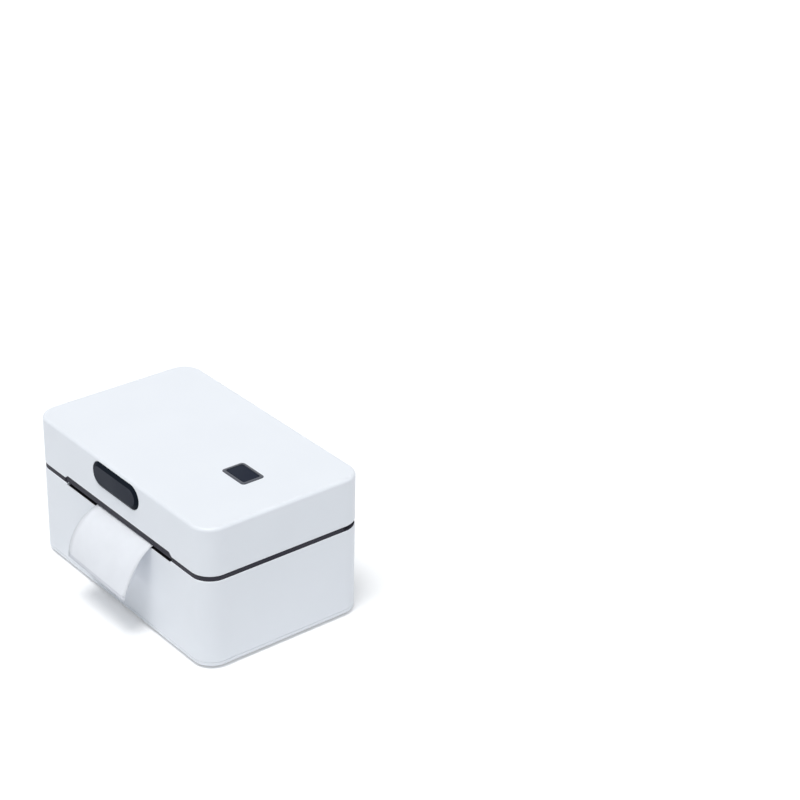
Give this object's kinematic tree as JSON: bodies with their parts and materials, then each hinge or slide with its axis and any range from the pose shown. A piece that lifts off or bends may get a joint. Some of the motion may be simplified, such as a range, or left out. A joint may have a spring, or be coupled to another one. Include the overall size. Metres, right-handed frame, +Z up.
{
  "type": "thermal label printer",
  "caption": "Compact box-shaped thermal label printer with a hinged lid, pill-shaped release button, top feed key, geared rubber platen, floating print head and a label strip in its slot.",
  "frame": {"origin": "on the floor, under the middle of the casing", "axes": "+X to the right as seen from the front, -Y towards the front with the label slot, +Z up"},
  "size_m": [0.15, 0.1278, 0.0784],
  "materials": {
    "casing_white": "fine satin moulding texture",
    "dark_plastic": "matte",
    "button_dark": "satin",
    "bezel_grey": "semi-gloss",
    "black_plastic": "matte",
    "guide_grey": "satin",
    "gear_nylon": "satin",
    "rubber": "matte",
    "screw_steel": "zinc plated",
    "sheet_steel": "galvanised",
    "bright_steel": "ground",
    "pinion_brass": "machined",
    "heatsink_aluminium": "extruded",
    "head_ceramic": "glazed",
    "board_green": "solder mask",
    "label_paper": "smooth coated"
  },
  "bodies": {
    "base": {"base_shell": "casing_white", "bottom_plate": "casing_white", "rubber_feet": "rubber", "bottom_screws": "screw_steel", "media_deck": "dark_plastic", "seam_rim": "dark_plastic", "deck_screws": "screw_steel", "gap_sensor": "black_plastic", "chassis_frame": "sheet_steel", "chassis_screws": "screw_steel", "platen_bush_left": "gear_nylon", "platen_bush_right": "gear_nylon", "idler_post": "bright_steel", "stepper_motor": "sheet_steel", "motor_screws": "screw_steel", "pinion_screw": "screw_steel", "main_board": "board_green", "board_parts": "black_plastic", "board_screws": "screw_steel", "dc_jack": "black_plastic", "usb_port": "bright_steel", "switch_frame": "black_plastic", "hinge_pin_left": "bright_steel", "hinge_pin_right": "bright_steel", "label_strip": "label_paper"},
    "platen": {"platen_shaft": "bright_steel", "platen_rubber": "rubber", "platen_gear": "gear_nylon", "platen_clips": "bright_steel"},
    "idler": {"idler_gear": "gear_nylon"},
    "motor_rotor": {"motor_shaft": "bright_steel", "motor_pinion": "pinion_brass"},
    "guide_right": {"media_guide_right": "guide_grey"},
    "guide_left": {"media_guide_left": "guide_grey"},
    "guide_gear": {"guide_pinion": "gear_nylon"},
    "power_rocker": {"rocker": "black_plastic"},
    "lid": {"lid_shell": "casing_white", "lid_liner": "dark_plastic", "liner_screws": "screw_steel", "tear_bar": "dark_plastic", "button_bezel": "bezel_grey", "tact_switch": "black_plastic", "button_board": "board_green", "key_screws": "screw_steel", "head_pivot_pin": "bright_steel", "head_springs": "bright_steel", "latch_springs": "bright_steel"},
    "print_head": {"head_bracket": "heatsink_aluminium", "thermal_head": "head_ceramic"},
    "latch": {"release_button": "button_dark", "latch_slider": "guide_grey"},
    "key": {"feed_key": "button_dark"}
  },
  "joints": [
    {"name": "lid_hinge", "type": "hinge", "parent": "base", "child": "lid", "pos_m": [0, 0.04175, 0.0566], "axis": [-1, 0, 0], "range_deg": [0, 90]},
    {"name": "head_float", "type": "hinge", "parent": "lid", "child": "print_head", "pos_m": [0, -0.015, 0.06], "axis": [-1, 0, 0], "range_deg": [0, 2], "stiffness_Nm_per_rad": 2, "springref_deg": -4.58, "deforming": ["head_springs"]},
    {"name": "latch_slide", "type": "slide", "parent": "lid", "child": "latch", "axis": [0, 1, 0], "range_m": [0, 0.0016], "stiffness_N_per_m": 400, "springref_m": -0.002, "deforming": ["latch_springs"]},
    {"name": "key_press", "type": "slide", "parent": "lid", "child": "key", "axis": [0, 0, -1], "range_m": [0, 0.0008], "stiffness_N_per_m": 300, "springref_m": -0.001},
    {"name": "platen_spin", "type": "hinge", "parent": "base", "child": "platen", "pos_m": [0, -0.03525, 0.0438], "axis": [1, 0, 0], "continuous": true},
    {"name": "idler_spin", "type": "hinge", "parent": "base", "child": "idler", "pos_m": [0.055, -0.031, 0.03531], "axis": [1, 0, 0], "continuous": true},
    {"name": "motor_spin", "type": "hinge", "parent": "base", "child": "motor_rotor", "pos_m": [0.052, -0.02799, 0.02577], "axis": [1, 0, 0], "continuous": true},
    {"name": "guide_right_slide", "type": "slide", "parent": "base", "child": "guide_right", "axis": [1, 0, 0], "range_m": [0, 0.0105]},
    {"name": "guide_left_slide", "type": "slide", "parent": "base", "child": "guide_left", "axis": [-1, 0, 0], "range_m": [0, 0.0105]},
    {"name": "guide_gear_turn", "type": "hinge", "parent": "base", "child": "guide_gear", "pos_m": [0, 0.024, 0.045], "axis": [0, 0, -1], "range_deg": [0, 101]},
    {"name": "rocker_tip", "type": "hinge", "parent": "base", "child": "power_rocker", "pos_m": [0.048, 0.04605, 0.02], "axis": [1, 0, 0], "range_deg": [0, 12]}
  ],
  "couplings": [
    {"joint": "idler_spin", "follows": "platen_spin", "ratio": -1.7143},
    {"joint": "motor_spin", "follows": "platen_spin", "ratio": 4},
    {"joint": "guide_left_slide", "follows": "guide_right_slide", "ratio": 1},
    {"joint": "guide_gear_turn", "follows": "guide_right_slide", "rad_per_m": 166.67}
  ]
}
